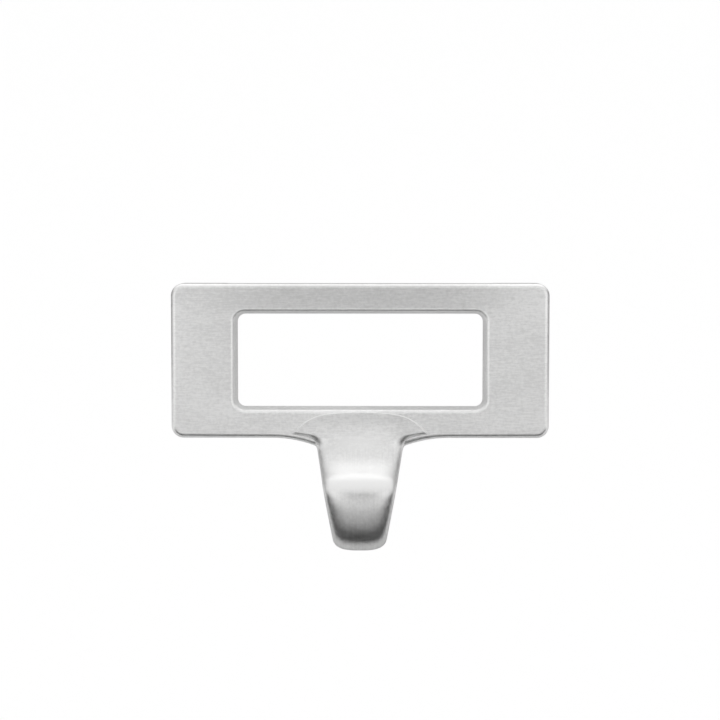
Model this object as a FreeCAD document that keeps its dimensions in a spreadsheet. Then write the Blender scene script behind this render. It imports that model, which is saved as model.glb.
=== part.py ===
import FreeCAD, Part
import math
import os
import Sketcher

# A die-cast label frame with a finger pull below it, made in one piece.
# X runs across the drawer front, Z is up, and -Y faces the user.
# The origin lies midway between the two screw holes, in the back face.

doc = FreeCAD.newDocument("label_frame_pull")

# Lengths are in millimetres and angles in degrees; powers and the wings' fall are plain numbers.
sizes = [
    # label frame
    ("frame_width", 77.0),
    ("frame_height", 31.5),
    ("frame_depth", 6.0),
    ("frame_corner", 2.5),
    ("frame_round", 1.0),
    # window, measured where it is smallest, at the card
    ("window_width", 50.2),
    ("window_height", 19.0),
    ("window_corner", 1.6),
    ("window_draft", 8.0),
    ("window_round", 0.9),
    # pocket behind the window that takes the card from above
    ("card_depth", 2.0),
    ("card_ledge", 2.2),
    # two tapped holes in the back
    ("screw_spacing", 64.0),
    ("screw_core", 3.3),
    ("screw_depth", 4.6),
    # outline of the pull, seen from the front
    ("neck_width", 17.2),
    ("neck_drop", 3.0),
    ("neck_radius", 1.8),
    ("pull_taper", 10.5),
    ("flare_run", 3.4),
    ("flare_radius", 25.0),
    ("web_inset", 0.3),
    # side curve of the pull, down the crest of its front; tilts are those of its normal
    ("root_radius", 14.5),
    ("slope_tilt", 53.0),
    ("slope_length", 0.5),
    ("shoulder_radius", 6.2),
    ("front_radius", 25.5),
    ("front_tilt", 16.0),
    ("curl_radius", 6.7),
    ("curl_tilt", 78.0),
    ("dome_round", 40.0),
    # section of the pull
    ("pull_thickness", 4.4),
    ("ridge_width", 15.4),
    ("ridge_height", 0.15),
    ("ridge_power", 6.0),
    ("edge_power", 3.0),
    # raised pad where the pull grows out of the frame, with a wing on each side
    ("wing_fall", 0.3),
    ("wing_power", 7.0),
    ("pad_proud", 0.12),
    ("pad_height", 5.4),
    ("pad_width", 29.2),
    ("pad_top_radius", 60.0),
    ("pad_side_radius", 11.0),
    ("pad_draft", 45.0),
    ("pad_rim", 0.6),
    # what the skin of the pull has beyond the pad, and how far in front the trim reaches
    ("skin_spare", 8.0),
    ("trim_reach", 3.0),
]

sheet = doc.addObject("Spreadsheet::Sheet", "dims")
for row, (alias, value) in enumerate(sizes, start=1):
    sheet.set("A%d" % row, alias)
    sheet.set("B%d" % row, str(value))
    sheet.setAlias("B%d" % row, alias)
doc.recompute()

size = {alias: float(sheet.get(alias)) for alias, value in sizes}

# Point and axis numbers that sketch constraints use.
START = 1
END = 2
CENTRE = 3
ORIGIN = (-1, 1)
ACROSS = -1
UPRIGHT = -2


def plane_of(body, role):
    """The origin plane of a body that has this role."""
    return [f for f in body.Origin.OriginFeatures if f.Role == role][0]


def new_sketch(body, name, lift=None):
    """A sketch in the upright plane of a body, moved forward by an expression."""
    sketch = body.newObject("Sketcher::SketchObject", name)
    sketch.AttachmentSupport = (plane_of(body, "XZ_Plane"), [""])
    sketch.MapMode = "FlatFace"
    if lift:
        sketch.setExpression("AttachmentOffset.Base.z", lift)
    return sketch


def line(sketch, start, end):
    """A straight stretch from start to end."""
    points = [FreeCAD.Vector(p[0], p[1], 0) for p in (start, end)]
    return sketch.addGeometry(Part.LineSegment(*points), False)


def circle_at(centre, radius):
    """A circle in the plane of a sketch."""
    return Part.Circle(FreeCAD.Vector(centre[0], centre[1], 0), FreeCAD.Vector(0, 0, 1), radius)


def arc(sketch, centre, radius, first, last):
    """A round stretch, counter-clockwise from one angle in degrees to another."""
    angles = (math.radians(first), math.radians(last))
    return sketch.addGeometry(Part.ArcOfCircle(circle_at(centre, radius), *angles), False)


def tie(sketch, *terms):
    """A constraint that carries no size."""
    sketch.addConstraint(Sketcher.Constraint(*terms))


def measure(sketch, name, expression, *terms):
    """A named constraint whose size follows an expression."""
    index = sketch.addConstraint(Sketcher.Constraint(*terms))
    sketch.renameConstraint(index, name)
    sketch.setExpression("Constraints." + name, expression)


def rounded_rectangle(sketch, width, height, radius):
    """A rectangle about the origin with four equal round corners; the three sizes are aliases."""
    x = size[width] / 2
    y = size[height] / 2
    r = size[radius]
    bottom = line(sketch, (r - x, -y), (x - r, -y))
    right = line(sketch, (x, r - y), (x, y - r))
    top = line(sketch, (x - r, y), (r - x, y))
    left = line(sketch, (-x, y - r), (-x, r - y))
    low_right = arc(sketch, (x - r, r - y), r, 270, 360)
    top_right = arc(sketch, (x - r, y - r), r, 0, 90)
    top_left = arc(sketch, (r - x, y - r), r, 90, 180)
    low_left = arc(sketch, (r - x, r - y), r, 180, 270)
    loop = [bottom, low_right, right, top_right, top, top_left, left, low_left]
    for before, after in zip(loop, loop[1:] + loop[:1]):
        tie(sketch, "Tangent", before, END, after, START)
    tie(sketch, "Horizontal", bottom)
    tie(sketch, "Horizontal", top)
    tie(sketch, "Vertical", right)
    tie(sketch, "Vertical", left)
    for corner in (top_right, top_left, low_left):
        tie(sketch, "Equal", low_right, corner)
    tie(sketch, "Symmetric", low_left, CENTRE, top_right, CENTRE, *ORIGIN)
    measure(sketch, "width", "dims." + width, "DistanceX", left, START, right, START, 2 * x)
    measure(sketch, "height", "dims." + height, "DistanceY", bottom, START, top, START, 2 * y)
    measure(sketch, "corner", "dims." + radius, "Radius", low_right, r)


# Where the pull's outline turns from the flare into its tapering sides.
# Heights in this block are measured from the lower edge of the frame.
lower_edge = -size["frame_height"] / 2
pad_half = size["pad_width"] / 2
flare_middle = (pad_half + size["flare_run"], -size["flare_radius"])
side_slope = math.tan(math.radians(size["pull_taper"]))
side_stretch = math.hypot(1, side_slope)
side_at_edge = size["neck_width"] / 2 + side_slope * size["neck_drop"]


def neck_middle(side, neck_radius, flare_radius):
    """Centre of the neck arc: it lies its radius beside the side line, and inside the flare's circle."""
    offset = side + neck_radius * side_stretch - flare_middle[0]
    half_sum = side_slope * offset - flare_middle[1]
    rest = offset ** 2 + flare_middle[1] ** 2 - (flare_radius - neck_radius) ** 2
    height = (math.sqrt(half_sum ** 2 - side_stretch ** 2 * rest) - half_sum) / side_stretch ** 2
    return (flare_middle[0] + offset + side_slope * height, height)


# The frame: a rounded plate with a drafted window in it.
frame = doc.addObject("PartDesign::Body", "frame")

plate_outline = new_sketch(frame, "plate_outline")
rounded_rectangle(plate_outline, "frame_width", "frame_height", "frame_corner")
plate = frame.newObject("PartDesign::Pad", "plate")
plate.Profile = plate_outline
plate.setExpression("Length", "dims.frame_depth")
doc.recompute()

# The web carries the flare of the lower edge down to the neck, as deep as the frame.
web_outline = new_sketch(frame, "web_outline")
web_side = side_at_edge - size["web_inset"]
web_neck = neck_middle(web_side, size["neck_radius"], size["flare_radius"])
web_flare_ends = math.degrees(math.atan2(web_neck[1] - flare_middle[1], web_neck[0] - flare_middle[0]))
web_side_ends = web_neck[1] + size["neck_radius"] * side_slope / side_stretch
web_top = size["frame_corner"]


def web_half(side):
    """Flank, neck, flare and upright of the web on the right (side 1) or the left (side -1)."""
    flank_low = (side * (web_side + side_slope * web_neck[1]), lower_edge + web_neck[1])
    flank_high = (side * (web_side + side_slope * web_side_ends), lower_edge + web_side_ends)
    flare_high = (side * flare_middle[0], lower_edge)
    upright_high = (side * flare_middle[0], lower_edge + web_top)
    neck_turn = sorted(90 - side * (90 - angle) for angle in (web_flare_ends, 180 - size["pull_taper"]))
    flare_turn = sorted(90 - side * (90 - angle) for angle in (90, web_flare_ends))
    low, high = (END, START) if side > 0 else (START, END)
    flank = line(web_outline, flank_low, flank_high)
    neck = arc(web_outline, (side * web_neck[0], lower_edge + web_neck[1]), size["neck_radius"], *neck_turn)
    flare_centre = (side * flare_middle[0], lower_edge + flare_middle[1])
    flare = arc(web_outline, flare_centre, size["flare_radius"], *flare_turn)
    upright = line(web_outline, flare_high, upright_high)
    tie(web_outline, "Tangent", flank, END, neck, low)
    tie(web_outline, "Tangent", neck, high, flare, low)
    tie(web_outline, "Vertical", flare, CENTRE, flare, high)
    tie(web_outline, "Coincident", flare, high, upright, START)
    tie(web_outline, "Vertical", upright)
    return flank, neck, flare, upright


flank, neck, flare, upright = web_half(1)
left_flank, left_neck, left_flare, left_upright = web_half(-1)
flank_x = web_side + side_slope * web_neck[1]
web_bottom = line(web_outline, (-flank_x, lower_edge + web_neck[1]), (flank_x, lower_edge + web_neck[1]))
web_lid = line(web_outline, (flare_middle[0], lower_edge + web_top), (-flare_middle[0], lower_edge + web_top))
tie(web_outline, "Coincident", web_bottom, END, flank, START)
tie(web_outline, "Coincident", web_bottom, START, left_flank, START)
tie(web_outline, "Coincident", web_lid, START, upright, END)
tie(web_outline, "Coincident", web_lid, END, left_upright, END)
tie(web_outline, "Horizontal", web_lid)
tie(web_outline, "Horizontal", web_bottom, END, neck, CENTRE)
tie(web_outline, "Horizontal", neck, CENTRE, left_neck, CENTRE)
tie(web_outline, "Symmetric", web_bottom, START, web_bottom, END, UPRIGHT)
tie(web_outline, "Symmetric", flare, CENTRE, left_flare, CENTRE, UPRIGHT)
tie(web_outline, "Equal", neck, left_neck)
tie(web_outline, "Equal", flare, left_flare)
neck_mark = (size["neck_width"] / 2 - size["web_inset"], lower_edge - size["neck_drop"])
mark = web_outline.addGeometry(Part.Point(FreeCAD.Vector(neck_mark[0], neck_mark[1], 0)), True)
tie(web_outline, "PointOnObject", mark, START, flank)
measure(web_outline, "neck_half", "dims.neck_width / 2 - dims.web_inset",
        "DistanceX", *ORIGIN, mark, START, neck_mark[0])
measure(web_outline, "neck_drop", "dims.frame_height / 2 + dims.neck_drop",
        "DistanceY", mark, START, *ORIGIN, -neck_mark[1])
measure(web_outline, "taper", "(90 - dims.pull_taper) * 1 deg",
        "Angle", flank, math.radians(90 - size["pull_taper"]))
measure(web_outline, "neck_radius", "dims.neck_radius", "Radius", neck, size["neck_radius"])
measure(web_outline, "flare_radius", "dims.flare_radius", "Radius", flare, size["flare_radius"])
measure(web_outline, "flare_middle", "dims.pad_width / 2 + dims.flare_run",
        "DistanceX", *ORIGIN, flare, CENTRE, flare_middle[0])
measure(web_outline, "edge", "dims.frame_height / 2", "DistanceY", upright, START, *ORIGIN, -lower_edge)
measure(web_outline, "lid", "dims.frame_corner", "DistanceY", upright, START, upright, END, web_top)
web = frame.newObject("PartDesign::Pad", "web")
web.Profile = web_outline
web.setExpression("Length", "dims.frame_depth")
doc.recompute()

# The window starts at the card and opens towards the front.
window_outline = new_sketch(frame, "window_outline", "dims.card_depth")
rounded_rectangle(window_outline, "window_width", "window_height", "window_corner")
window = frame.newObject("PartDesign::Pocket", "window")
window.Profile = window_outline
window.Reversed = True
window.setExpression("Length", "dims.frame_depth - dims.card_depth")
window.setExpression("TaperAngle", "dims.window_draft * 1 deg")
doc.recompute()

# The card pocket is a ledge wider than the window, and open at the top edge so that the card drops in.
card_outline = new_sketch(frame, "card_outline")
card_half = size["window_width"] / 2 + size["card_ledge"]
card_low = -size["window_height"] / 2 - size["card_ledge"]
card_high = size["frame_height"]
card_bottom = line(card_outline, (-card_half, card_low), (card_half, card_low))
card_right = line(card_outline, (card_half, card_low), (card_half, card_high))
card_top = line(card_outline, (card_half, card_high), (-card_half, card_high))
card_left = line(card_outline, (-card_half, card_high), (-card_half, card_low))
card_loop = [card_bottom, card_right, card_top, card_left]
for before, after in zip(card_loop, card_loop[1:] + card_loop[:1]):
    tie(card_outline, "Coincident", before, END, after, START)
tie(card_outline, "Vertical", card_right)
tie(card_outline, "Vertical", card_left)
tie(card_outline, "Horizontal", card_top)
tie(card_outline, "Symmetric", card_bottom, START, card_bottom, END, UPRIGHT)
measure(card_outline, "width", "dims.window_width + 2 * dims.card_ledge",
        "DistanceX", card_bottom, START, card_bottom, END, 2 * card_half)
measure(card_outline, "low", "dims.window_height / 2 + dims.card_ledge",
        "DistanceY", card_bottom, START, *ORIGIN, -card_low)
measure(card_outline, "high", "dims.frame_height", "DistanceY", *ORIGIN, card_top, START, card_high)
card_pocket = frame.newObject("PartDesign::Pocket", "card_pocket")
card_pocket.Profile = card_outline
card_pocket.Reversed = True
card_pocket.setExpression("Length", "dims.card_depth")
doc.recompute()

# Two blind holes, at the core diameter of their thread.
screw_places = new_sketch(frame, "screw_places")
half_spacing = size["screw_spacing"] / 2
core = size["screw_core"] / 2
left_hole = screw_places.addGeometry(circle_at((-half_spacing, 0), core), False)
right_hole = screw_places.addGeometry(circle_at((half_spacing, 0), core), False)
tie(screw_places, "Equal", left_hole, right_hole)
tie(screw_places, "Symmetric", left_hole, CENTRE, right_hole, CENTRE, *ORIGIN)
tie(screw_places, "PointOnObject", right_hole, CENTRE, ACROSS)
measure(screw_places, "spacing", "dims.screw_spacing",
        "DistanceX", left_hole, CENTRE, right_hole, CENTRE, 2 * half_spacing)
measure(screw_places, "core", "dims.screw_core", "Diameter", left_hole, 2 * core)
screw_holes = frame.newObject("PartDesign::Pocket", "screw_holes")
screw_holes.Profile = screw_places
screw_holes.Reversed = True
screw_holes.setExpression("Length", "dims.screw_depth")
doc.recompute()


def front_face(feature):
    """The flat front of a feature, which is the face that lies furthest forward."""
    return min(feature.Shape.Faces, key=lambda face: face.CenterOfMass.y)


def names_of(feature, edges):
    """Names of the edges of a feature that are among these edges."""
    numbered = enumerate(feature.Shape.Edges, start=1)
    return ["Edge%d" % number for number, edge in numbered if any(edge.isSame(one) for one in edges)]


# Every front edge is rounded, first round the outside and then round the window.
# Only the lower end of the web, which lies inside the pull, stays sharp.
outer_edges = sorted(front_face(screw_holes).OuterWire.Edges, key=lambda edge: edge.CenterOfMass.z)
outside_round = frame.newObject("PartDesign::Fillet", "outside_round")
outside_round.Base = (screw_holes, names_of(screw_holes, outer_edges[1:]))
outside_round.setExpression("Radius", "dims.frame_round")
doc.recompute()

rounded_front = front_face(outside_round)
inner_wires = [wire for wire in rounded_front.Wires if not wire.isSame(rounded_front.OuterWire)]
rim_edges = [edge for wire in inner_wires for edge in wire.Edges]
window_rim = frame.newObject("PartDesign::Fillet", "window_rim")
window_rim.Base = (outside_round, names_of(outside_round, rim_edges))
window_rim.setExpression("Radius", "dims.window_round")
doc.recompute()

# The pull is a skin through rounded sections that stand square to its side curve.
# Forward is measured from the front of the frame, height from its lower edge.
half_thickness = size["pull_thickness"] / 2
slope_tilt = math.radians(size["slope_tilt"])
front_tilt = -math.radians(size["front_tilt"])
end_tilt = -math.radians(size["curl_tilt"])
dome_turn = half_thickness / (size["curl_radius"] - half_thickness)
lead_steps = 2
root_steps = 12
shoulder_steps = 5
front_steps = 3
curl_steps = 4
dome_steps = 3
section_points = 24


def side_curve():
    """Points down the crest of the pull, each as forward, height and tilt of the normal above the level.

    A short lead runs down inside the pad. The root arc swings the crest forward, a straight slope
    follows, and the shoulder, front and curl arcs turn it back, each tangent to the one before."""
    forward = size["pad_proud"]
    height = size["pad_height"]
    tilt = 0.0
    lead = half_thickness / lead_steps
    points = [(forward, height + lead * step, tilt) for step in range(lead_steps, -1, -1)]
    for radius, last_tilt, steps, straight in (
            (-size["root_radius"], slope_tilt, root_steps, size["slope_length"]),
            (size["shoulder_radius"], 0.0, shoulder_steps, 0.0),
            (size["front_radius"], front_tilt, front_steps, 0.0),
            (size["curl_radius"], end_tilt + dome_turn, curl_steps, 0.0)):
        middle = (forward - radius * math.cos(tilt), height - radius * math.sin(tilt))
        first_tilt = tilt
        for step in range(1, steps + 1):
            tilt = first_tilt + (last_tilt - first_tilt) * step / steps
            forward = middle[0] + radius * math.cos(tilt)
            height = middle[1] + radius * math.sin(tilt)
            points.append((forward, height, tilt))
        if straight:
            forward += straight * math.sin(tilt)
            height -= straight * math.cos(tilt)
            points.append((forward, height, tilt))
    return points


skin_flare = size["flare_radius"] + size["pad_rim"]
skin_neck_radius = size["neck_radius"] + size["pad_rim"]
skin_neck = neck_middle(side_at_edge, skin_neck_radius, skin_flare)
skin_side_ends = skin_neck[1] + skin_neck_radius * side_slope / side_stretch
neck_share = skin_flare / (skin_flare - skin_neck_radius)
skin_neck_ends = flare_middle[1] + (skin_neck[1] - flare_middle[1]) * neck_share
skin_flare_ends = flare_middle[1] + math.sqrt(skin_flare ** 2 - size["flare_run"] ** 2)


def half_width(height):
    """Half the width of the pull at a height: the tapering side, the neck arc and the flare arc.

    The flare lies a rim's width inside the web's. Above it the width runs on, ever more slowly, past
    the pad."""
    if height < skin_side_ends:
        return side_at_edge + side_slope * height
    if height < skin_neck_ends:
        return skin_neck[0] - math.sqrt(skin_neck_radius ** 2 - (height - skin_neck[1]) ** 2)
    if height < skin_flare_ends:
        return flare_middle[0] - math.sqrt(skin_flare ** 2 - (height - flare_middle[1]) ** 2)
    spare = size["skin_spare"]
    steep = (skin_flare_ends - flare_middle[1]) / size["flare_run"]
    return pad_half + spare * (1 - math.exp((skin_flare_ends - height) * steep / spare))


def section(forward, height, tilt, swell):
    """One closed section of the pull, square to the side curve.

    Across the width x = w sin a, and both faces stand off the middle by half the thickness times the
    root of 1 - |sin a|^power. The front also falls from a ridge towards the sides. Above the neck, where
    the wings spread, it falls further and the edges are squarer. Swell shrinks the section at the tip."""
    middle_height = height - half_thickness * math.sin(tilt)
    w = half_width(middle_height) - (1 - swell) * half_thickness
    share = min(1.0, max(0.0, 1 + middle_height / size["neck_drop"]))
    share = share * share * (3 - 2 * share)
    power = size["edge_power"] + (size["wing_power"] - size["edge_power"]) * share
    wing_fall = size["wing_fall"] * (forward - size["pad_proud"])
    fall = size["ridge_height"] + (wing_fall - size["ridge_height"]) * share
    points = []
    for step in range(section_points):
        a = 2 * math.pi * step / section_points - math.pi / 2
        x = w * math.sin(a)
        rise = half_thickness * swell
        if 2 * step <= section_points:
            rise -= fall * (1 - 1 / (1 + abs(2 * x / size["ridge_width"]) ** size["ridge_power"]))
        else:
            rise = -rise
        depth = rise * math.sqrt(max(0.0, 1 - abs(math.sin(a)) ** power)) - half_thickness
        y = -size["frame_depth"] - forward - depth * math.cos(tilt)
        z = lower_edge + height + depth * math.sin(tilt)
        points.append(FreeCAD.Vector(x, y, z))
    curve = Part.BSplineCurve()
    curve.interpolate(Points=points, PeriodicFlag=True, Parameters=list(range(section_points + 1)))
    return Part.Wire([curve.toShape()])


# The curl ends in the first part of a dome as round as the pull is thick.
crest = side_curve()
sections = [section(*station, 1.0) for station in crest]
forward, height, tilt = crest[-1]
curl_middle = (forward - size["curl_radius"] * math.cos(tilt), height - size["curl_radius"] * math.sin(tilt))
for step in range(1, dome_steps + 1):
    round_to = math.radians(size["dome_round"]) * step / dome_steps
    tilt = end_tilt + dome_turn * (1 - math.sin(round_to))
    forward = curl_middle[0] + size["curl_radius"] * math.cos(tilt)
    height = curl_middle[1] + size["curl_radius"] * math.sin(tilt)
    sections.append(section(forward, height, tilt, math.cos(round_to)))
pull_skin = doc.addObject("Part::Feature", "pull_skin")
pull_skin.Shape = Part.makeLoft(sections, True, False)

# A block over the lower band trims the skin to the pad. It has a hole in the shape of a low arch, which
# narrows forwards by the pad's draft.
trim = doc.addObject("PartDesign::Body", "trim")
block_outline = new_sketch(trim, "block_outline", "dims.frame_depth")
block_half = size["frame_width"] / 2
block_low = line(block_outline, (-block_half, lower_edge), (block_half, lower_edge))
block_right = line(block_outline, (block_half, lower_edge), (block_half, 0))
block_high = line(block_outline, (block_half, 0), (-block_half, 0))
block_left = line(block_outline, (-block_half, 0), (-block_half, lower_edge))
block_loop = [block_low, block_right, block_high, block_left]
for before, after in zip(block_loop, block_loop[1:] + block_loop[:1]):
    tie(block_outline, "Coincident", before, END, after, START)
tie(block_outline, "Vertical", block_right)
tie(block_outline, "Vertical", block_left)
tie(block_outline, "Horizontal", block_high)
tie(block_outline, "Symmetric", block_low, START, block_low, END, UPRIGHT)
tie(block_outline, "PointOnObject", block_high, START, ACROSS)
measure(block_outline, "width", "dims.frame_width",
        "DistanceX", block_low, START, block_low, END, 2 * block_half)
measure(block_outline, "low", "dims.frame_height / 2", "DistanceY", block_low, START, *ORIGIN, -lower_edge)
block = trim.newObject("PartDesign::Pad", "block")
block.Profile = block_outline
block.SideType = "Two sides"
block.setExpression("Length", "dims.trim_reach")
block.setExpression("Length2", "dims.frame_depth")
doc.recompute()

pad_outline = new_sketch(trim, "pad_outline", "dims.frame_depth")
top_radius = size["pad_top_radius"]
side_radius = size["pad_side_radius"]
top_centre = lower_edge + size["pad_height"] - top_radius
between = top_radius - side_radius
rise = lower_edge - top_centre
far = math.hypot(pad_half, rise)
turn = math.atan2(pad_half, rise)
turn -= math.acos((far ** 2 + between ** 2 - side_radius ** 2) / (2 * between * far))
side_centre = (between * math.sin(turn), top_centre + between * math.cos(turn))
foot = math.degrees(math.atan2(lower_edge - side_centre[1], pad_half - side_centre[0]))
turn = math.degrees(turn)
deep = lower_edge - size["pad_height"]
pad_top = arc(pad_outline, (0, top_centre), top_radius, 90 - turn, 90 + turn)
pad_right = arc(pad_outline, side_centre, side_radius, foot, 90 - turn)
pad_left = arc(pad_outline, (-side_centre[0], side_centre[1]), side_radius, 90 + turn, 180 - foot)
down_left = line(pad_outline, (-pad_half, lower_edge), (-pad_half, deep))
pad_low = line(pad_outline, (-pad_half, deep), (pad_half, deep))
down_right = line(pad_outline, (pad_half, deep), (pad_half, lower_edge))
tie(pad_outline, "Tangent", pad_right, END, pad_top, START)
tie(pad_outline, "Tangent", pad_top, END, pad_left, START)
tie(pad_outline, "Coincident", pad_left, END, down_left, START)
tie(pad_outline, "Coincident", down_left, END, pad_low, START)
tie(pad_outline, "Coincident", pad_low, END, down_right, START)
tie(pad_outline, "Coincident", down_right, END, pad_right, START)
tie(pad_outline, "Vertical", down_left)
tie(pad_outline, "Vertical", down_right)
tie(pad_outline, "Horizontal", pad_low)
tie(pad_outline, "PointOnObject", pad_top, CENTRE, UPRIGHT)
tie(pad_outline, "Equal", pad_right, pad_left)
tie(pad_outline, "Symmetric", pad_left, END, pad_right, START, UPRIGHT)
measure(pad_outline, "top_radius", "dims.pad_top_radius", "Radius", pad_top, top_radius)
measure(pad_outline, "side_radius", "dims.pad_side_radius", "Radius", pad_right, side_radius)
measure(pad_outline, "height", "dims.frame_height / 2 - dims.pad_height + dims.pad_top_radius",
        "DistanceY", pad_top, CENTRE, *ORIGIN, -top_centre)
measure(pad_outline, "width", "dims.pad_width", "DistanceX", pad_left, END, pad_right, START, 2 * pad_half)
measure(pad_outline, "foot", "dims.frame_height / 2", "DistanceY", pad_right, START, *ORIGIN, -lower_edge)
measure(pad_outline, "deep", "dims.frame_height / 2 + dims.pad_height",
        "DistanceY", pad_low, START, *ORIGIN, -deep)
pad_hole = trim.newObject("PartDesign::Pocket", "pad_hole")
pad_hole.Profile = pad_outline
pad_hole.SideType = "Two sides"
pad_hole.Reversed = True
pad_hole.setExpression("Length", "dims.trim_reach")
pad_hole.setExpression("Length2", "dims.frame_depth")
pad_hole.setExpression("TaperAngle", "-dims.pad_draft * 1 deg")
doc.recompute()

pull = doc.addObject("Part::Cut", "pull")
pull.Base = pull_skin
pull.Tool = trim
doc.recompute()

# Frame and pull are one casting.
casting = doc.addObject("Part::Fuse", "casting")
casting.Label = "label_frame_pull"
casting.Base = frame
casting.Tool = pull
doc.recompute()

for part in doc.Objects:
    if "Invalid" in part.State or "Error" in part.State:
        raise RuntimeError(part.Name + " did not build")
if casting.Shape.isNull() or not casting.Shape.isValid() or len(casting.Shape.Solids) != 1:
    raise RuntimeError("the casting is not one sound solid")

os.makedirs("parts", exist_ok=True)
casting.Shape.exportStep("parts/" + casting.Label + ".step")
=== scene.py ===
import math

import bpy
import numpy as np
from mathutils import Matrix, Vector


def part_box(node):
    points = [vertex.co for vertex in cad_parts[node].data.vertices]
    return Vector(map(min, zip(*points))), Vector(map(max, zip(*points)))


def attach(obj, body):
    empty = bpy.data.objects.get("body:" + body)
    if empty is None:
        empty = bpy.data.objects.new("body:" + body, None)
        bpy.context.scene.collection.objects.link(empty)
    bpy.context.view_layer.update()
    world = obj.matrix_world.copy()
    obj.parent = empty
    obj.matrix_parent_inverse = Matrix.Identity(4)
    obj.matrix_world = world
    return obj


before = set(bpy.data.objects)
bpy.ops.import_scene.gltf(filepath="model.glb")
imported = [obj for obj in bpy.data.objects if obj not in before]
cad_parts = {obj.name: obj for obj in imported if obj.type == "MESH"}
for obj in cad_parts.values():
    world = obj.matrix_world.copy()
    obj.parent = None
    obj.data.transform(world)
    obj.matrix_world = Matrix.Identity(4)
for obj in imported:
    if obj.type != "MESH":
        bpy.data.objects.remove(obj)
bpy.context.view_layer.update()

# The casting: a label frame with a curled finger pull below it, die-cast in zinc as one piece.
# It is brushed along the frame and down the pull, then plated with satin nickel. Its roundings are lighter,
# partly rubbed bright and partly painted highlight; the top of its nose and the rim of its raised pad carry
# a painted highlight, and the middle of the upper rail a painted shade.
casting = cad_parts["label_frame_pull"]
casting_foot = float(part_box("label_frame_pull")[0][2])
nickel_light = (0.785, 0.784, 0.780, 1.0)
nickel_dark = (0.660, 0.659, 0.655, 1.0)
# The rubbed colour lightens the roundings, partly rubbed bright and partly painted highlight, and lays a
# painted highlight on the nose and the pad rim.
nickel_worn_and_highlit = (0.810, 0.809, 0.806, 1.0)
# The rail colour darkens the middle of the upper rail: a painted shade.
nickel_rail_shade = (0.84, 0.84, 0.84, 1.0)
nickel_edge = (0.52, 0.52, 0.52, 1.0)

# Grain: its stretches are in waves per metre, and it turns from across to down below the frame.
grain_turns_at = -0.0150
grain_turned_at = -0.0190
frame_grain = (500.0, 3200.0, 3200.0)
pull_grain = (3200.0, 110.0, 110.0)
pull_grain_share = 0.6
streak_detail = 4.0
streak_roughness = 0.62
mottle_grain = (1500.0, 1500.0, 1500.0)
mottle_detail = 5.0
mottle_roughness = 0.6
cloud_grain = (45.0, 130.0, 130.0)
# The clouds' shift is set so that a darker patch falls on the middle of the upper rail, a painted shade
# there.
cloud_shift = (11.6, 0.0, 8.3)
cloud_detail = 3.0
cloud_roughness = 0.5
cloud_share = 0.8
shade_darkest = 1.20
shade_lightest = 1.60


def place_in(tree, kind="Object"):
    """A point's place on its piece (Object), which way it faces (Normal), or its place on a sheet (UV)."""
    return tree.nodes.new("ShaderNodeTexCoord").outputs[kind]


def part_of(tree, vector, axis):
    """The X, Y or Z part of a vector."""
    apart = tree.nodes.new("ShaderNodeSeparateXYZ")
    tree.links.new(vector, apart.inputs["Vector"])
    return apart.outputs[axis]


def figure(tree, operation, *terms, clamp=False):
    """One step of arithmetic; each term is a number or the output of a node."""
    step = tree.nodes.new("ShaderNodeMath")
    step.operation = operation
    step.use_clamp = clamp
    for socket, term in zip(step.inputs, terms):
        if isinstance(term, float):
            socket.default_value = term
        else:
            tree.links.new(term, socket)
    return step.outputs[0]


def fade(tree, value, starts, ends, low=0.0, high=1.0, smooth=True):
    """Carries a value that runs from starts to ends over to low to high, and holds it beyond both."""
    step = tree.nodes.new("ShaderNodeMapRange")
    step.interpolation_type = "SMOOTHSTEP" if smooth else "LINEAR"
    step.inputs["From Min"].default_value = starts
    step.inputs["From Max"].default_value = ends
    step.inputs["To Min"].default_value = low
    step.inputs["To Max"].default_value = high
    tree.links.new(value, step.inputs["Value"])
    return step.outputs["Result"]


def noise(tree, stretch, detail, roughness, shift=(0.0, 0.0, 0.0)):
    """Noise over the piece, at three stretches along its axes."""
    drawn = tree.nodes.new("ShaderNodeMapping")
    drawn.inputs["Location"].default_value = shift
    drawn.inputs["Scale"].default_value = stretch
    tree.links.new(place_in(tree), drawn.inputs["Vector"])
    texture = tree.nodes.new("ShaderNodeTexNoise")
    texture.inputs["Scale"].default_value = 1.0
    texture.inputs["Detail"].default_value = detail
    texture.inputs["Roughness"].default_value = roughness
    tree.links.new(drawn.outputs["Vector"], texture.inputs["Vector"])
    return texture.outputs["Fac"]


def new_group(name, inputs, outputs):
    """An empty node group that takes in and gives out these numbers."""
    group = bpy.data.node_groups.new(name, "ShaderNodeTree")
    for socket in inputs:
        group.interface.new_socket(socket, in_out="INPUT", socket_type="NodeSocketFloat")
    for socket in outputs:
        group.interface.new_socket(socket, in_out="OUTPUT", socket_type="NodeSocketFloat")
    return group


grain_group = new_group("satin_grain", [], ["Streaks", "Mottle", "Clouds", "On Frame"])
height = part_of(grain_group, place_in(grain_group), "Z")
on_frame = fade(grain_group, height, grain_turned_at, grain_turns_at)
across = noise(grain_group, frame_grain, streak_detail, streak_roughness)
down = noise(grain_group, pull_grain, streak_detail, streak_roughness)
down = figure(grain_group, "MULTIPLY_ADD", down, pull_grain_share, (1.0 - pull_grain_share) / 2)
streaks = grain_group.nodes.new("ShaderNodeMix")
for socket, value in (("Factor", on_frame), ("A", down), ("B", across)):
    grain_group.links.new(value, streaks.inputs[socket])
mottle = noise(grain_group, mottle_grain, mottle_detail, mottle_roughness)
clouds = noise(grain_group, cloud_grain, cloud_detail, cloud_roughness, cloud_shift)
grain_ends = grain_group.nodes.new("NodeGroupOutput").inputs
grain_group.links.new(streaks.outputs["Result"], grain_ends["Streaks"])
grain_group.links.new(mottle, grain_ends["Mottle"])
grain_group.links.new(clouds, grain_ends["Clouds"])
grain_group.links.new(on_frame, grain_ends["On Frame"])
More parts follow.
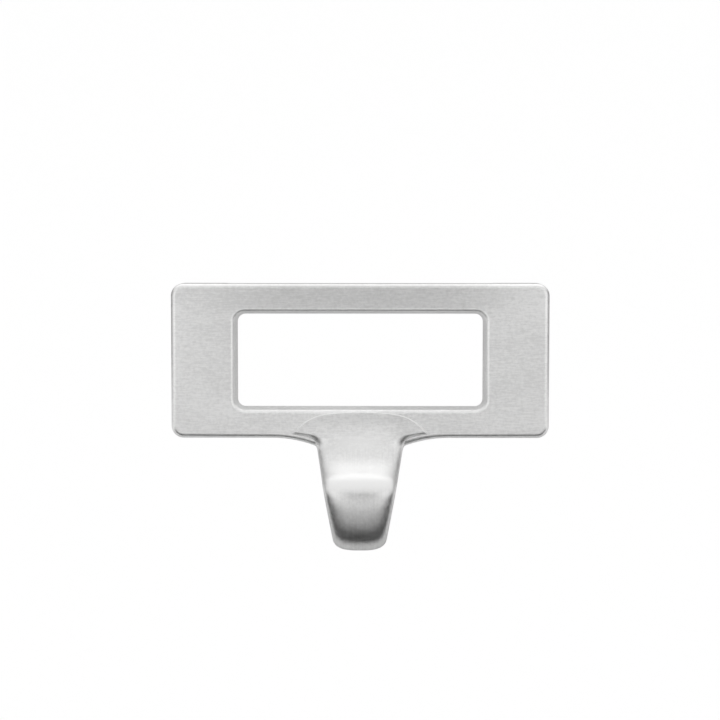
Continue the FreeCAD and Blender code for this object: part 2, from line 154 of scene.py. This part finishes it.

# Rubbing and painted highlight: a painted highlight, most on the top of the nose; rubbed brightness and a
# painted highlight on the roundings of the frame, which face along no axis; and more painted highlight where
# such a rounding faces up, on the rim of the raised pad.
flat_from = 0.98
round_from = 0.80
edge_wear_and_highlight = 0.35
pad_rim_highlight = 4.0
pad_rim_starts = -0.0108
pad_rim_ends = -0.0120
nose_starts = -0.0070
nose_ends = -0.0135
upward_from = 0.10
upward_to = 0.50
wear_and_highlight_group = new_group("rubbed_edges_and_highlights", ["On Frame"], ["Wear"])
wear_and_highlight_starts = wear_and_highlight_group.nodes.new("NodeGroupInput").outputs
facing = [part_of(wear_and_highlight_group, place_in(wear_and_highlight_group, "Normal"), axis) for axis in "XYZ"]
squareness = figure(wear_and_highlight_group, "ABSOLUTE", facing[0])
for part in facing[1:]:
    squareness = figure(wear_and_highlight_group, "MAXIMUM", squareness, figure(wear_and_highlight_group, "ABSOLUTE", part))
# The frame's roundings are lighter, partly rubbed bright and partly painted highlight.
on_edges = fade(wear_and_highlight_group, squareness, flat_from, round_from, high=edge_wear_and_highlight, smooth=False)
on_edges = figure(wear_and_highlight_group, "MULTIPLY", on_edges, wear_and_highlight_starts["On Frame"])
# The nose and the pad rim get their painted highlight only where they face up.
on_top = fade(wear_and_highlight_group, facing[2], upward_from, upward_to)
forward = part_of(wear_and_highlight_group, place_in(wear_and_highlight_group), "Y")
on_nose = fade(wear_and_highlight_group, forward, nose_starts, nose_ends)
height = part_of(wear_and_highlight_group, place_in(wear_and_highlight_group), "Z")
on_pad = fade(wear_and_highlight_group, height, pad_rim_starts, pad_rim_ends, high=pad_rim_highlight, smooth=False)
painted_highlight = figure(wear_and_highlight_group, "MULTIPLY_ADD", on_edges, on_pad, on_nose)
wear_and_highlight = figure(wear_and_highlight_group, "MULTIPLY_ADD", on_top, painted_highlight, on_edges, clamp=True)
wear_and_highlight_group.links.new(wear_and_highlight, wear_and_highlight_group.nodes.new("NodeGroupOutput").inputs["Wear"])

satin_nickel = bpy.data.materials.new("satin_nickel")
satin_nickel.use_nodes = True
nickel = satin_nickel.node_tree
shader = nickel.nodes["Principled BSDF"]
shader.inputs["Metallic"].default_value = 1.0
shader.inputs["Specular Tint"].default_value = nickel_edge
grain = nickel.nodes.new("ShaderNodeGroup")
grain.node_tree = grain_group
edges = nickel.nodes.new("ShaderNodeGroup")
edges.node_tree = wear_and_highlight_group
nickel.links.new(grain.outputs["On Frame"], edges.inputs["On Frame"])


def tint(tree, share, under, over, how="MIX"):
    """Lays one colour over another by a share; each is a colour or the output of a node."""
    step = tree.nodes.new("ShaderNodeMix")
    step.data_type = "RGBA"
    step.blend_type = how
    tree.links.new(share, step.inputs["Factor"])
    for socket, colour in ((step.inputs["A"], under), (step.inputs["B"], over)):
        if isinstance(colour, tuple):
            socket.default_value = colour
        else:
            tree.links.new(colour, socket)
    return step.outputs["Result"]


# Colour: grain and clouds from dark to light, then a painted shade on the middle of the upper rail, and the
# rubbed roundings and painted highlights over it.
rail_starts = 0.0094
rail_shade_from = 0.0114
rail_end = 0.0340
rail_middle = 0.0150
rail_shade_share = 1.7
fine_grain = figure(nickel, "ADD", grain.outputs["Streaks"], grain.outputs["Mottle"])
uneven = figure(nickel, "MULTIPLY_ADD", grain.outputs["Clouds"], cloud_share, fine_grain)
shade = fade(nickel, uneven, shade_darkest, shade_lightest, smooth=False)
colour = tint(nickel, shade, nickel_dark, nickel_light)
# The middle of the upper rail is darkened in patches after the clouds: a painted shade.
on_rail = fade(nickel, part_of(nickel, place_in(nickel), "Z"), rail_starts, rail_shade_from)
from_middle = figure(nickel, "ABSOLUTE", part_of(nickel, place_in(nickel), "X"))
in_middle = fade(nickel, from_middle, rail_end, rail_middle)
rail_painted_shade = figure(nickel, "MULTIPLY", grain.outputs["Clouds"], on_rail)
rail_painted_shade = figure(nickel, "MULTIPLY", rail_painted_shade, in_middle)
rail_painted_shade = figure(nickel, "MULTIPLY", rail_painted_shade, rail_shade_share, clamp=True)
colour = tint(nickel, rail_painted_shade, colour, nickel_rail_shade, "MULTIPLY")
# The rubbed roundings and the painted highlights are laid over the colour.
colour = tint(nickel, edges.outputs["Wear"], colour, nickel_worn_and_highlit)
nickel.links.new(colour, shader.inputs["Base Color"])

# Gloss and relief: the mottle makes the satin uneven, and the metal is a little smoother where it is rubbed
# or carries the painted highlight.
mottle_low = 0.35
mottle_high = 0.65
roughness_low = 0.33
roughness_high = 0.40
smoother_where_worn_or_highlit = -0.02
relief_strength = 0.25
relief_depth = 0.00002
satin = fade(nickel, grain.outputs["Mottle"], mottle_low, mottle_high, roughness_low, roughness_high, False)
satin = figure(nickel, "MULTIPLY_ADD", edges.outputs["Wear"], smoother_where_worn_or_highlit, satin)
nickel.links.new(satin, shader.inputs["Roughness"])
relief = nickel.nodes.new("ShaderNodeBump")
relief.inputs["Strength"].default_value = relief_strength
relief.inputs["Distance"].default_value = relief_depth
nickel.links.new(fine_grain, relief.inputs["Height"])
nickel.links.new(relief.outputs["Normal"], shader.inputs["Normal"])
casting.data.materials.clear()
casting.data.materials.append(satin_nickel)

# The screw threads: a 4 mm thread is tapped into each of the two blind holes in the back, to take the
# screws that come through the drawer front. Only its crests stand clear of the hole's wall.
screw_half_spacing = 0.032
thread_pitch = 0.0007
thread_crest = 0.00158
thread_root = 0.00166
thread_start = -0.0003
thread_end = -0.0042
thread_fade = 0.0005
thread_around = 49
thread_along = 73


def thread_surface(middle_x):
    """The wall of a tapped hole, as a grid of points over the angle about its axis and the depth.

    The radius runs from root to crest by the square of half of 1 + cos of the helix phase, which is the
    angle plus a full turn for each pitch of depth. The crest fades out over a short run at both ends."""
    angle = np.linspace(0.0, 2 * np.pi, thread_around)[None, :]
    depth = np.linspace(thread_start, thread_end, thread_along)[:, None]
    from_ends = np.minimum(thread_start - depth, depth - thread_end)
    crest = np.clip(from_ends / thread_fade, 0.0, 1.0) * (thread_root - thread_crest)
    wave = 0.5 + 0.5 * np.cos(angle + 2 * np.pi * depth / thread_pitch)
    radius = thread_root - crest * wave ** 2
    points = np.empty((thread_along, thread_around, 3))
    points[..., 0] = middle_x + radius * np.cos(angle)
    points[..., 1] = depth
    points[..., 2] = radius * np.sin(angle)
    return points


for side, middle_x in (("left", -screw_half_spacing), ("right", screw_half_spacing)):
    points = thread_surface(middle_x)
    rows, columns = points.shape[:2]
    corner = np.arange(rows - 1)[:, None] * columns + np.arange(columns - 1)[None, :]
    faces = np.stack([corner, corner + columns, corner + columns + 1, corner + 1], axis=-1).reshape(-1, 4)
    thread_mesh = bpy.data.meshes.new("thread_" + side)
    thread_mesh.from_pydata(points.reshape(-1, 3).tolist(), [], faces.tolist())
    thread_mesh.polygons.foreach_set("use_smooth", np.ones(len(faces), dtype=bool))
    thread_mesh.materials.append(satin_nickel)
    thread = bpy.data.objects.new("thread_" + side, thread_mesh)
    bpy.context.scene.collection.objects.link(thread)
    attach(thread, "root")

# The studio floor: a white paper sweep under and behind the part, so far below that it takes only a soft
# shadow. Its paper glows for what looks straight at it, and keeps a share of its own shading and shadows.
sweep_drop = 0.16
sweep_back = 0.9
sweep_bend = 0.4
sweep_half_width = 2.5
sweep_front = 2.5
sweep_height = 2.5
sweep_steps = 24
paper_white = (0.94, 0.94, 0.94, 1.0)
paper_glow = 0.9


def sweep_profile():
    """Forward edge, floor, a quarter circle of the bend's radius, then the upright back, as (y, z) rows."""
    floor_z = casting_foot - sweep_drop
    turn = np.linspace(-np.pi / 2, 0.0, sweep_steps)
    bend_y = sweep_back - sweep_bend + sweep_bend * np.cos(turn)
    bend_z = floor_z + sweep_bend + sweep_bend * np.sin(turn)
    y = np.concatenate([[-sweep_front], bend_y, [sweep_back]])
    z = np.concatenate([[floor_z], bend_z, [floor_z + sweep_height]])
    return np.stack([y, z], axis=1)


profile = sweep_profile()
rows = len(profile)
vertices = np.zeros((rows, 2, 3))
vertices[:, 0, 0] = -sweep_half_width
vertices[:, 1, 0] = sweep_half_width
vertices[:, :, 1:] = profile[:, None, :]
first = 2 * np.arange(rows - 1)
faces = np.stack([first, first + 1, first + 3, first + 2], axis=1)
sweep_mesh = bpy.data.meshes.new("sweep")
sweep_mesh.from_pydata(vertices.reshape(-1, 3).tolist(), [], faces.tolist())
sweep_mesh.polygons.foreach_set("use_smooth", np.ones(len(faces), dtype=bool))
sweep = bpy.data.objects.new("sweep", sweep_mesh)
bpy.context.scene.collection.objects.link(sweep)

white_paper = bpy.data.materials.new("white_paper")
white_paper.use_nodes = True
paper = white_paper.node_tree
paper.nodes["Principled BSDF"].inputs["Base Color"].default_value = paper_white
paper.nodes["Principled BSDF"].inputs["Roughness"].default_value = 1.0
glow = paper.nodes.new("ShaderNodeEmission")
path = paper.nodes.new("ShaderNodeLightPath")
looked_at = figure(paper, "MAXIMUM", path.outputs["Is Camera Ray"], path.outputs["Is Glossy Ray"])
looked_at = figure(paper, "MAXIMUM", looked_at, path.outputs["Is Transmission Ray"])
glowing = paper.nodes.new("ShaderNodeMixShader")
paper.links.new(figure(paper, "MULTIPLY", looked_at, paper_glow), glowing.inputs["Fac"])
paper.links.new(paper.nodes["Principled BSDF"].outputs["BSDF"], glowing.inputs[1])
paper.links.new(glow.outputs["Emission"], glowing.inputs[2])
paper.links.new(glowing.outputs["Shader"], paper.nodes["Material Output"].inputs["Surface"])
sweep_mesh.materials.append(white_paper)

# The dark card: a trough of black paper that lies in front of the part and below it, out of the camera's
# sight. It draws the dark band along the curl of the pull, and is paler towards its far edge.
dark_drop = 0.010
dark_z = casting_foot - dark_drop
dark_near = -0.0152
dark_fades = -0.0293
dark_far = -0.066
dark_half = 0.058
dark_lift = 0.0257
dark_steps = 24
dark_black = 0.02
dark_pale = 0.8
dark_roughness = 0.9


def hang_unseen(name, mesh):
    """Puts a sheet into the scene for the metal alone: the camera doesn't see it, and it casts no shadow."""
    sheet = bpy.data.objects.new(name, mesh)
    bpy.context.scene.collection.objects.link(sheet)
    sheet.visible_camera = False
    sheet.visible_shadow = False


aside = np.linspace(-1.0, 1.0, dark_steps + 1)[:, None]
vertices = np.zeros((dark_steps + 1, 2, 3))
vertices[:, :, 0] = dark_half * aside
vertices[:, :, 1] = (dark_far, dark_near)
vertices[:, :, 2] = dark_z + dark_lift * aside ** 2
first = 2 * np.arange(dark_steps)
faces = np.stack([first, first + 2, first + 3, first + 1], axis=1)
dark_mesh = bpy.data.meshes.new("dark_card")
dark_mesh.from_pydata(vertices.reshape(-1, 3).tolist(), [], faces.tolist())
black_paper = bpy.data.materials.new("black_paper")
black_paper.use_nodes = True
paper = black_paper.node_tree
paper.nodes["Principled BSDF"].inputs["Roughness"].default_value = dark_roughness
forward = part_of(paper, place_in(paper), "Y")
paleness = fade(paper, forward, dark_fades, dark_far, dark_black, dark_pale, smooth=False)
paper.links.new(paleness, paper.nodes["Principled BSDF"].inputs["Base Color"])
dark_mesh.materials.append(black_paper)
hang_unseen("dark_card", dark_mesh)

# The grey cards: one stands on each side of the frame and one lies under the part, out of the camera's
# sight. They draw the thin darker line along its outline.
side_card_x = 0.12
side_card_y = (-0.03, 0.10)
side_card_z = (-0.012, 0.06)
side_card_grey = (0.48, 0.48, 0.48, 1.0)
low_card_x = (-0.10, 0.10)
low_card_y = (dark_near, 0.06)
low_card_grey = (0.76, 0.76, 0.76, 1.0)


def grey_card(name, corners, grey):
    """A flat sheet through four corners, in one matt grey."""
    mesh = bpy.data.meshes.new(name)
    mesh.from_pydata(corners, [], [(0, 1, 2, 3)])
    card_paper = bpy.data.materials.new(name + "_paper")
    card_paper.use_nodes = True
    card_paper.node_tree.nodes["Principled BSDF"].inputs["Base Color"].default_value = grey
    card_paper.node_tree.nodes["Principled BSDF"].inputs["Roughness"].default_value = 1.0
    mesh.materials.append(card_paper)
    hang_unseen(name, mesh)


round_the_sheet = ((0, 0), (1, 0), (1, 1), (0, 1))
for name, x in (("left_card", -side_card_x), ("right_card", side_card_x)):
    grey_card(name, [(x, side_card_y[i], side_card_z[j]) for i, j in round_the_sheet], side_card_grey)
grey_card("low_card", [(low_card_x[i], low_card_y[j], dark_z) for i, j in round_the_sheet], low_card_grey)

# The light: the room is a white tent, with a large soft box over the part and a low one on each side of the
# camera. A soft box is a cloth with a lamp behind its middle, so its light fades to the tent's at its edges.
tent_white = (1.0, 1.0, 1.0, 1.0)
tent_light = 1.0
top_peak = 0.75
top_middle = (0.0, 0.15, 0.5)
top_across = (0.75, 0.0, 0.0)
top_along = (0.0, 0.42, 0.0)
side_peak = 0.70
side_x = 0.36
side_y = -0.5
side_z = 0.03
side_across = (0.17, 0.12)
side_up = (0.0, 0.0, 0.16)
tent = bpy.data.worlds.new("tent")
bpy.context.scene.world = tent
tent.use_nodes = True
tent.node_tree.nodes["Background"].inputs["Color"].default_value = tent_white
tent.node_tree.nodes["Background"].inputs["Strength"].default_value = tent_light


def soft_box(name, middle, across, upward, peak):
    """A lit sheet: its middle plus u times the vector across and v times the one upward, both from -1 to 1.

    Its light is the tent's plus the peak times the product of two smooth steps, which fall from the
    middle to the edges along u and v."""
    ends = np.array([(-1, -1), (1, -1), (1, 1), (-1, 1)], dtype=float)
    corners = np.array(middle) + ends[:, :1] * np.array(across) + ends[:, 1:] * np.array(upward)
    mesh = bpy.data.meshes.new(name)
    mesh.from_pydata(corners.tolist(), [], [(0, 1, 2, 3)])
    sheet_map = mesh.uv_layers.new(name="sheet")
    sheet_map.data.foreach_set("uv", ends.ravel())
    cloth = bpy.data.materials.new(name + "_cloth")
    cloth.use_nodes = True
    tree = cloth.node_tree
    from_lamp = [figure(tree, "ABSOLUTE", part_of(tree, place_in(tree, "UV"), axis)) for axis in "XY"]
    lamp = figure(tree, "MULTIPLY", *[fade(tree, away, 1.0, 0.0) for away in from_lamp])
    light = tree.nodes.new("ShaderNodeEmission")
    tree.links.new(figure(tree, "MULTIPLY_ADD", lamp, peak, tent_light), light.inputs["Strength"])
    tree.links.new(light.outputs["Emission"], tree.nodes["Material Output"].inputs["Surface"])
    mesh.materials.append(cloth)
    hang_unseen(name, mesh)


soft_box("top_box", top_middle, top_across, top_along, top_peak)
for name, side in (("left_box", -1.0), ("right_box", 1.0)):
    soft_box(name, (side * side_x, side_y, side_z), (side_across[0], side * side_across[1], 0.0), side_up,
             side_peak)

# The camera: it looks almost straight at the frame, from a little above, with the photograph's 720 pixels
# across its view.
elevation = math.radians(4.0)
azimuth = math.radians(0.6)
target = Vector((0.0, -0.006, 0.00025))
distance = 0.4
picture_pixels = 720.0
pixels_per_metre = 4920.0
sensor_width = 36.0
camera_data = bpy.data.cameras.new("camera")
camera_data.sensor_width = sensor_width
camera_data.lens = sensor_width * distance * pixels_per_metre / picture_pixels
camera = bpy.data.objects.new("camera", camera_data)
toward = Vector((math.sin(azimuth) * math.cos(elevation), -math.cos(azimuth) * math.cos(elevation),
                 math.sin(elevation)))
camera.location = target + distance * toward
camera.rotation_euler = toward.to_track_quat("Z", "Y").to_euler()
bpy.context.scene.collection.objects.link(camera)
bpy.context.scene.camera = camera

# The camera's body: a sheet about the lens, dark in its middle and white at its edges. It shows in the
# metal, faintly, where the metal faces it.
body_half = 0.09
body_fades = 0.015
body_faded = 0.09
body_dark = 0.05
body_white = 0.95
rightward = Vector((math.cos(azimuth), math.sin(azimuth), 0.0))
upward = toward.cross(rightward)
corners = [camera.location + body_half * (i * rightward + j * upward)
           for i, j in ((-1, -1), (1, -1), (1, 1), (-1, 1))]
body_mesh = bpy.data.meshes.new("camera_body")
body_mesh.from_pydata([tuple(corner) for corner in corners], [], [(0, 1, 2, 3)])
grey_body = bpy.data.materials.new("grey_body")
grey_body.use_nodes = True
body = grey_body.node_tree
body.nodes["Principled BSDF"].inputs["Roughness"].default_value = 1.0
from_lens = body.nodes.new("ShaderNodeVectorMath")
from_lens.operation = "DISTANCE"
from_lens.inputs[1].default_value = camera.location
body.links.new(place_in(body), from_lens.inputs[0])
body_shade = fade(body, from_lens.outputs["Value"], body_fades, body_faded, body_dark, body_white)
body.links.new(body_shade, body.nodes["Principled BSDF"].inputs["Base Color"])
body_mesh.materials.append(grey_body)
hang_unseen("camera_body", body_mesh)

bpy.context.scene.view_settings.view_transform = "Standard"
